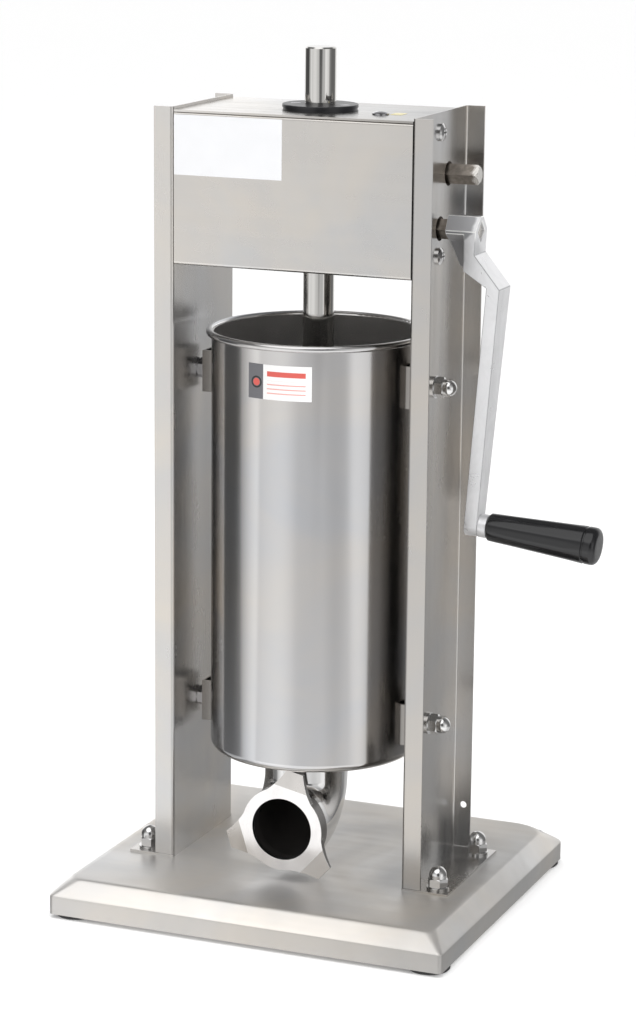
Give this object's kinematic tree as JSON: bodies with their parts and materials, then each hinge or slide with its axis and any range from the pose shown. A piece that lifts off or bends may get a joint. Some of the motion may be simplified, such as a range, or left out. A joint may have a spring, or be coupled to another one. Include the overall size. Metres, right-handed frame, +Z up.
{
  "type": "sausage stuffer",
  "caption": "Upright hand-cranked sausage stuffer: a geared rack rod drives a piston down a steel cylinder between two channel posts, pushing meat out of a front elbow spout.",
  "frame": {"origin": "on the floor, straight below the axis of the piston rod, at the centre of the base", "axes": "+Z up along the piston rod, -Y to the front where the spout opens, +X to the crank side"},
  "size_m": [0.3631, 0.27, 0.617],
  "materials": {
    "brushed_stainless": "brushed",
    "satin_cylinder": "satin",
    "polished_stainless": "polished",
    "chromed_rod": "polished",
    "zinc_steel": "satin",
    "dark_steel": "satin",
    "gear_steel": "satin",
    "gearbox_casting": "matte",
    "bronze": "satin",
    "cast_aluminium": "satin",
    "black_rubber": "matte",
    "black_plastic": "gloss",
    "bushing_plastic": "satin",
    "white_plastic": "satin",
    "seal_rubber": "matte",
    "label_film": "satin",
    "yellow_film": "satin",
    "spring_steel": "satin"
  },
  "bodies": {
    "piston": {"rack_rod": "chromed_rod", "piston_plate": "white_plastic", "piston_seal": "seal_rubber", "piston_nut": "zinc_steel", "valve_body": "white_plastic", "valve_spring": "spring_steel"},
    "valve": {"valve_poppet": "white_plastic"},
    "rack_shaft": {"rack_pinion_shaft": "dark_steel", "main_gear": "gear_steel", "gear_key": "zinc_steel", "gear_circlips": "spring_steel"},
    "crank": {"crank_pinion_shaft": "dark_steel", "stub_circlip": "spring_steel", "crank_arm": "cast_aluminium", "grip_collar": "polished_stainless", "grip_spindle": "zinc_steel"},
    "grip": {"crank_grip": "black_plastic", "grip_cap": "black_plastic"},
    "nut": {"ring_nut": "cast_aluminium"},
    "frame": {"base_pan": "brushed_stainless", "rubber_feet": "black_rubber", "foot_studs": "zinc_steel", "foot_nuts": "zinc_steel", "left_post": "brushed_stainless", "right_post": "brushed_stainless", "post_bolts": "zinc_steel", "post_washers": "polished_stainless", "post_cap_nuts": "polished_stainless", "gearbox_trough": "brushed_stainless", "top_cover": "brushed_stainless", "cover_screws": "polished_stainless", "tab_nuts": "zinc_steel", "bearing_block": "gearbox_casting", "bearing_bracket": "gearbox_casting", "bracket_screws": "zinc_steel", "shaft_bushes": "bronze", "lower_guide_bush": "white_plastic", "bushing_gasket": "bushing_plastic", "top_guide_bushing": "bushing_plastic", "bushing_screws": "zinc_steel", "oil_plug": "zinc_steel", "meat_cylinder": "satin_cylinder", "outlet_elbow": "polished_stainless", "outlet_sleeve": "polished_stainless", "upper_brackets": "brushed_stainless", "lower_brackets": "brushed_stainless", "cylinder_pins": "zinc_steel", "pin_nuts": "zinc_steel", "pin_washers": "polished_stainless", "side_cap_nuts": "polished_stainless", "panel_sticker": "label_film", "cylinder_label": "label_film", "cover_sticker": "yellow_film"}
  },
  "joints": [
    {"name": "crank_turn", "type": "hinge", "parent": "frame", "child": "crank", "pos_m": [0.1, 0, 0.495], "axis": [1, 0, 0], "range_deg": [0, 5156.62]},
    {"name": "rack_shaft_turn", "type": "hinge", "parent": "frame", "child": "rack_shaft", "pos_m": [0.04, 0.016, 0.53166], "axis": [1, 0, 0], "range_deg": [-1719, 0]},
    {"name": "piston_slide", "type": "slide", "parent": "frame", "child": "piston", "axis": [0, 0, 1], "range_m": [0, 0.3001]},
    {"name": "valve_lift", "type": "slide", "parent": "piston", "child": "valve", "axis": [0, 0, 1], "range_m": [0, 0.003], "stiffness_N_per_m": 250, "springref_m": -0.002, "deforming": ["valve_spring"]},
    {"name": "grip_spin", "type": "hinge", "parent": "crank", "child": "grip", "pos_m": [0.1196, 0, 0.2876], "axis": [0.9965, 0, -0.0837], "continuous": true},
    {"name": "ring_nut_turn", "type": "hinge", "parent": "frame", "child": "nut", "pos_m": [0, -0.055, 0.064], "axis": [0, -1, 0], "range_deg": [0, 24]}
  ],
  "couplings": [
    {"joint": "rack_shaft_turn", "follows": "crank_turn", "ratio": -0.33333},
    {"joint": "piston_slide", "follows": "crank_turn", "m_per_rad": 0.0033333}
  ]
}
